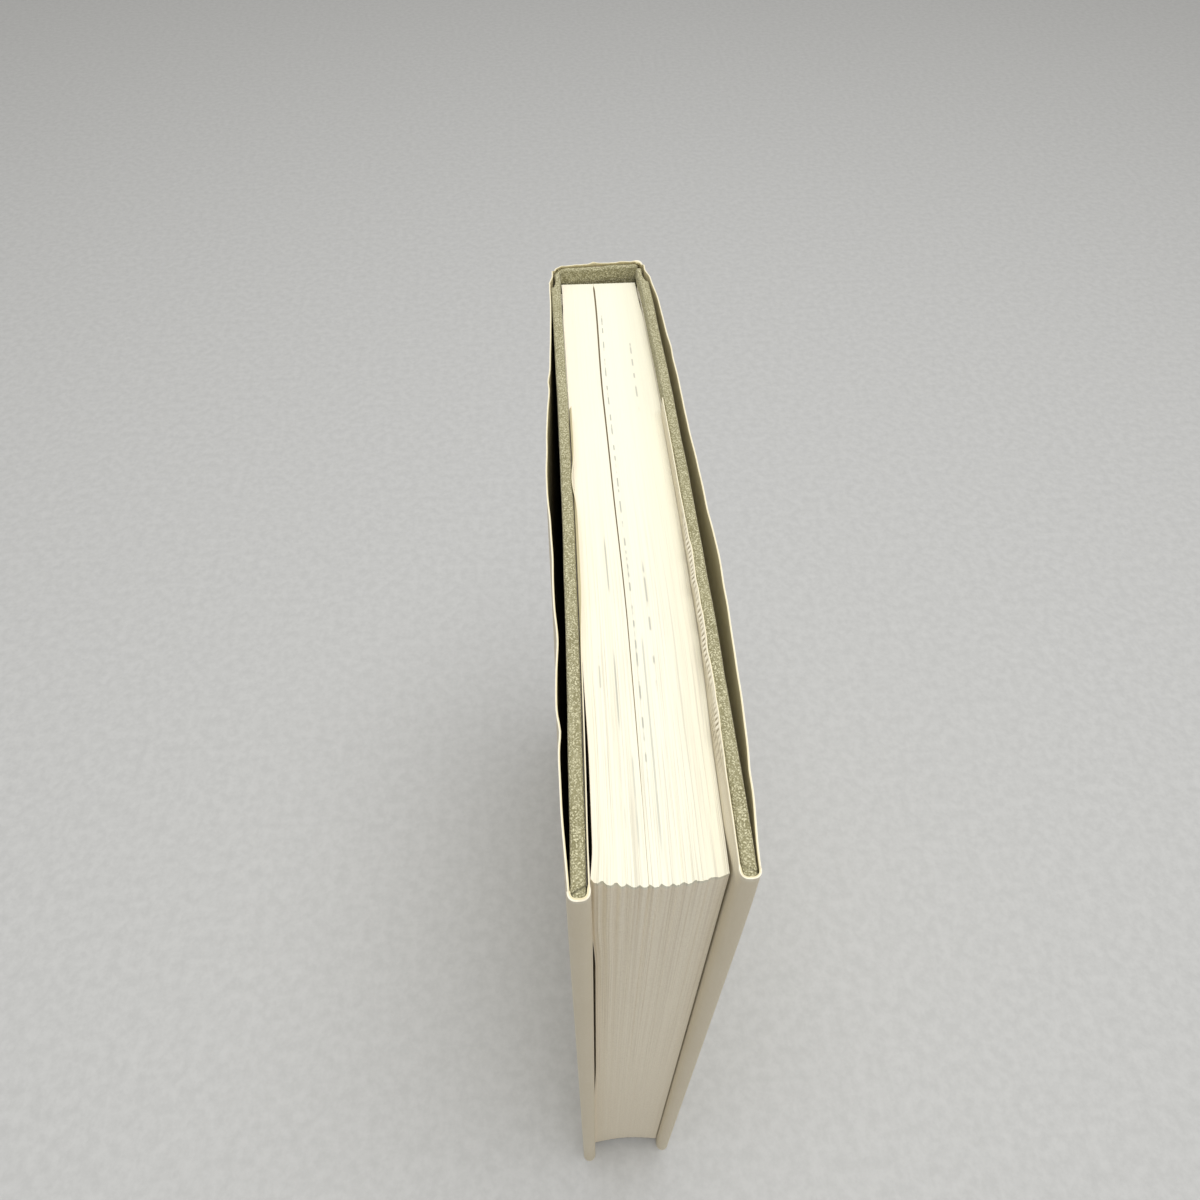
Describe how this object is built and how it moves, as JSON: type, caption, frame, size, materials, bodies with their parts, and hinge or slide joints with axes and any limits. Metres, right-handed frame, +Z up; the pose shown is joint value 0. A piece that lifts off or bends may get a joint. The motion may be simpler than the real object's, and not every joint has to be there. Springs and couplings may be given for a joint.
{
  "type": "hardcover book",
  "caption": "Cloth-bound hardcover book in a plain paper dust jacket with folded flaps, standing on its tail; the covers swing open on cloth joints beside the flat spine.",
  "frame": {"origin": "centre of the box that the standing book fills, on the surface that its tail rests on", "axes": "+Z up from tail to head, +Y from the fore-edge to the spine, +X from the front cover to the back cover"},
  "size_m": [0.0286, 0.1532, 0.2104],
  "materials": {
    "page_paper": "matte",
    "lining_gauze": "matte",
    "inlay_card": "matte",
    "book_cloth": "matte",
    "jacket_paper": "satin",
    "grey_board": "matte",
    "endpaper": "matte"
  },
  "bodies": {
    "page_block": {"text_block": "page_paper", "spine_lining": "lining_gauze", "spine_inlay": "inlay_card", "spine_cloth": "book_cloth", "jacket_spine": "jacket_paper"},
    "front_cover": {"front_board": "grey_board", "front_cloth": "book_cloth", "front_pastedown": "endpaper", "jacket_front": "jacket_paper"},
    "back_cover": {"back_board": "grey_board", "back_cloth": "book_cloth", "back_pastedown": "endpaper", "jacket_back": "jacket_paper"}
  },
  "joints": [
    {"name": "front_cover_hinge", "type": "hinge", "parent": "page_block", "child": "front_cover", "pos_m": [-0.01155, 0.0704, 0.1], "axis": [0, 0, -1], "range_deg": [0, 178]},
    {"name": "back_cover_hinge", "type": "hinge", "parent": "page_block", "child": "back_cover", "pos_m": [0.01155, 0.072, 0.1], "axis": [0, 0, 1], "range_deg": [0, 178]}
  ]
}
